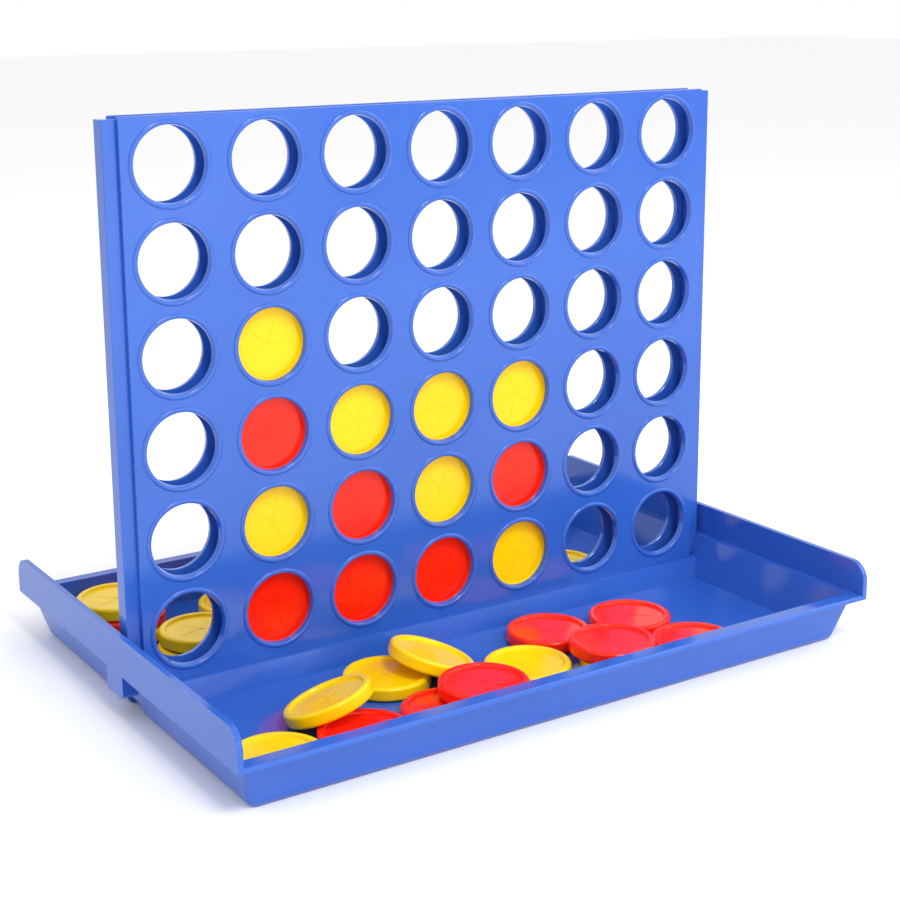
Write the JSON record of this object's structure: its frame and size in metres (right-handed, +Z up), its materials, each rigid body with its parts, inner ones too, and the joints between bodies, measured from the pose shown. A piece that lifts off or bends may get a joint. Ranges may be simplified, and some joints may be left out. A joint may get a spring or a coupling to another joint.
{
  "type": "four in a row game",
  "caption": "Tabletop four-in-a-row game: upright holed board standing in a tray base, with loose red and yellow discs.",
  "frame": {"origin": "on the table, under the middle of the base", "axes": "+X along the board to the right as the front player sees it, +Y away from the front player, +Z up"},
  "size_m": [0.263, 0.19, 0.204],
  "materials": {
    "blue_plastic": "glossy injection-moulded blue plastic, the polymer not identified",
    "yellow_plastic": "glossy injection-moulded yellow plastic, the polymer not identified",
    "red_plastic": "glossy injection-moulded red plastic, the polymer not identified"
  },
  "bodies": {
    "base": {"tray_base": "blue_plastic"},
    "board": {"front_panel": "blue_plastic", "back_panel": "blue_plastic", "column_divider_1": "blue_plastic", "column_divider_2": "blue_plastic", "column_divider_3": "blue_plastic", "column_divider_4": "blue_plastic", "column_divider_5": "blue_plastic", "column_divider_6": "blue_plastic", "left_end_rail": "blue_plastic", "right_end_rail": "blue_plastic"},
    "red_01": {"red_disc_01": "red_plastic"},
    "yellow_01": {"yellow_disc_01": "yellow_plastic"},
    "red_02": {"red_disc_02": "red_plastic"},
    "yellow_02": {"yellow_disc_02": "yellow_plastic"},
    "red_03": {"red_disc_03": "red_plastic"},
    "red_04": {"red_disc_04": "red_plastic"},
    "yellow_03": {"yellow_disc_03": "yellow_plastic"},
    "red_05": {"red_disc_05": "red_plastic"},
    "yellow_04": {"yellow_disc_04": "yellow_plastic"},
    "yellow_05": {"yellow_disc_05": "yellow_plastic"},
    "yellow_06": {"yellow_disc_06": "yellow_plastic"},
    "red_06": {"red_disc_06": "red_plastic"},
    "yellow_07": {"yellow_disc_07": "yellow_plastic"},
    "yellow_08": {"yellow_disc_08": "yellow_plastic"},
    "red_07": {"red_disc_07": "red_plastic"},
    "yellow_09": {"yellow_disc_09": "yellow_plastic"},
    "yellow_10": {"yellow_disc_10": "yellow_plastic"},
    "yellow_11": {"yellow_disc_11": "yellow_plastic"},
    "red_08": {"red_disc_08": "red_plastic"},
    "red_09": {"red_disc_09": "red_plastic"},
    "yellow_12": {"yellow_disc_12": "yellow_plastic"},
    "yellow_13": {"yellow_disc_13": "yellow_plastic"},
    "red_10": {"red_disc_10": "red_plastic"},
    "red_11": {"red_disc_11": "red_plastic"},
    "red_12": {"red_disc_12": "red_plastic"},
    "red_13": {"red_disc_13": "red_plastic"},
    "yellow_14": {"yellow_disc_14": "yellow_plastic"},
    "red_14": {"red_disc_14": "red_plastic"},
    "yellow_15": {"yellow_disc_15": "yellow_plastic"},
    "yellow_16": {"yellow_disc_16": "yellow_plastic"},
    "yellow_17": {"yellow_disc_17": "yellow_plastic"},
    "yellow_18": {"yellow_disc_18": "yellow_plastic"},
    "red_15": {"red_disc_15": "red_plastic"},
    "red_16": {"red_disc_16": "red_plastic"},
    "yellow_19": {"yellow_disc_19": "yellow_plastic"},
    "red_17": {"red_disc_17": "red_plastic"},
    "red_18": {"red_disc_18": "red_plastic"},
    "red_19": {"red_disc_19": "red_plastic"},
    "red_20": {"red_disc_20": "red_plastic"},
    "yellow_20": {"yellow_disc_20": "yellow_plastic"},
    "red_21": {"red_disc_21": "red_plastic"},
    "yellow_21": {"yellow_disc_21": "yellow_plastic"}
  },
  "joints": [
    {"name": "board_lift", "type": "slide", "parent": "base", "child": "board", "axis": [0, 0, 1], "range_m": [0, 0.14]},
    {"name": "red_01_out", "type": "slide", "parent": "base", "child": "red_01", "axis": [0, 0, 1], "range_m": [0, 0.193]},
    {"name": "yellow_01_out", "type": "slide", "parent": "red_01", "child": "yellow_01", "axis": [0, 0, 1], "range_m": [0, 0.161]},
    {"name": "red_02_out", "type": "slide", "parent": "yellow_01", "child": "red_02", "axis": [0, 0, 1], "range_m": [0, 0.129]},
    {"name": "yellow_02_out", "type": "slide", "parent": "red_02", "child": "yellow_02", "axis": [0, 0, 1], "range_m": [0, 0.097]},
    {"name": "red_03_out", "type": "slide", "parent": "base", "child": "red_03", "axis": [0, 0, 1], "range_m": [0, 0.193]},
    {"name": "red_04_out", "type": "slide", "parent": "red_03", "child": "red_04", "axis": [0, 0, 1], "range_m": [0, 0.161]},
    {"name": "yellow_03_out", "type": "slide", "parent": "red_04", "child": "yellow_03", "axis": [0, 0, 1], "range_m": [0, 0.129]},
    {"name": "red_05_out", "type": "slide", "parent": "base", "child": "red_05", "axis": [0, 0, 1], "range_m": [0, 0.193]},
    {"name": "yellow_04_out", "type": "slide", "parent": "red_05", "child": "yellow_04", "axis": [0, 0, 1], "range_m": [0, 0.161]},
    {"name": "yellow_05_out", "type": "slide", "parent": "yellow_04", "child": "yellow_05", "axis": [0, 0, 1], "range_m": [0, 0.129]},
    {"name": "yellow_06_out", "type": "slide", "parent": "base", "child": "yellow_06", "axis": [0, 0, 1], "range_m": [0, 0.193]},
    {"name": "red_06_out", "type": "slide", "parent": "yellow_06", "child": "red_06", "axis": [0, 0, 1], "range_m": [0, 0.161]},
    {"name": "yellow_07_out", "type": "slide", "parent": "red_06", "child": "yellow_07", "axis": [0, 0, 1], "range_m": [0, 0.129]},
    {"name": "yellow_08_out", "type": "slide", "parent": "base", "child": "yellow_08", "axis": [0, 0, 1], "range_m": [0, 0.04]},
    {"name": "red_07_out", "type": "slide", "parent": "base", "child": "red_07", "axis": [0, 0, 1], "range_m": [0, 0.04]},
    {"name": "yellow_09_out", "type": "slide", "parent": "red_07", "child": "yellow_09", "axis": [0, 0, 1], "range_m": [0, 0.04]},
    {"name": "yellow_10_out", "type": "slide", "parent": "base", "child": "yellow_10", "axis": [0, 0, 1], "range_m": [0, 0.04]},
    {"name": "yellow_11_out", "type": "slide", "parent": "yellow_10", "child": "yellow_11", "axis": [0, 0, 1], "range_m": [0, 0.04]},
    {"name": "red_08_out", "type": "slide", "parent": "base", "child": "red_08", "axis": [0, 0, 1], "range_m": [0, 0.04]},
    {"name": "red_09_out", "type": "slide", "parent": "red_08", "child": "red_09", "axis": [0, 0, 1], "range_m": [0, 0.04]},
    {"name": "yellow_12_out", "type": "slide", "parent": "base", "child": "yellow_12", "axis": [0, 0, 1], "range_m": [0, 0.04]},
    {"name": "yellow_13_out", "type": "slide", "parent": "base", "child": "yellow_13", "axis": [0, 0, 1], "range_m": [0, 0.04]},
    {"name": "red_10_out", "type": "slide", "parent": "yellow_13", "child": "red_10", "axis": [0, 0, 1], "range_m": [0, 0.04]},
    {"name": "red_11_out", "type": "slide", "parent": "base", "child": "red_11", "axis": [0, 0, 1], "range_m": [0, 0.04]},
    {"name": "red_12_out", "type": "slide", "parent": "base", "child": "red_12", "axis": [0, 0, 1], "range_m": [0, 0.04]},
    {"name": "red_13_out", "type": "slide", "parent": "base", "child": "red_13", "axis": [0, 0, 1], "range_m": [0, 0.04]},
    {"name": "yellow_14_out", "type": "slide", "parent": "base", "child": "yellow_14", "axis": [0, 0, 1], "range_m": [0, 0.04]},
    {"name": "red_14_out", "type": "slide", "parent": "yellow_14", "child": "red_14", "axis": [0, 0, 1], "range_m": [0, 0.04]},
    {"name": "yellow_15_out", "type": "slide", "parent": "red_14", "child": "yellow_15", "axis": [0, 0, 1], "range_m": [0, 0.04]},
    {"name": "yellow_16_out", "type": "slide", "parent": "base", "child": "yellow_16", "axis": [0, 0, 1], "range_m": [0, 0.04]},
    {"name": "yellow_17_out", "type": "slide", "parent": "yellow_16", "child": "yellow_17", "axis": [0, 0, 1], "range_m": [0, 0.04]},
    {"name": "yellow_18_out", "type": "slide", "parent": "base", "child": "yellow_18", "axis": [0, 0, 1], "range_m": [0, 0.04]},
    {"name": "red_15_out", "type": "slide", "parent": "base", "child": "red_15", "axis": [0, 0, 1], "range_m": [0, 0.04]},
    {"name": "red_16_out", "type": "slide", "parent": "red_15", "child": "red_16", "axis": [0, 0, 1], "range_m": [0, 0.04]},
    {"name": "yellow_19_out", "type": "slide", "parent": "base", "child": "yellow_19", "axis": [0, 0, 1], "range_m": [0, 0.04]},
    {"name": "red_17_out", "type": "slide", "parent": "yellow_19", "child": "red_17", "axis": [0, 0, 1], "range_m": [0, 0.04]},
    {"name": "red_18_out", "type": "slide", "parent": "base", "child": "red_18", "axis": [0, 0, 1], "range_m": [0, 0.04]},
    {"name": "red_19_out", "type": "slide", "parent": "base", "child": "red_19", "axis": [0, 0, 1], "range_m": [0, 0.04]},
    {"name": "red_20_out", "type": "slide", "parent": "red_19", "child": "red_20", "axis": [0, 0, 1], "range_m": [0, 0.04]},
    {"name": "yellow_20_out", "type": "slide", "parent": "base", "child": "yellow_20", "axis": [0, 0, 1], "range_m": [0, 0.04]},
    {"name": "red_21_out", "type": "slide", "parent": "base", "child": "red_21", "axis": [0, 0, 1], "range_m": [0, 0.04]},
    {"name": "yellow_21_out", "type": "slide", "parent": "base", "child": "yellow_21", "axis": [0, 0, 1], "range_m": [0, 0.04]}
  ]
}
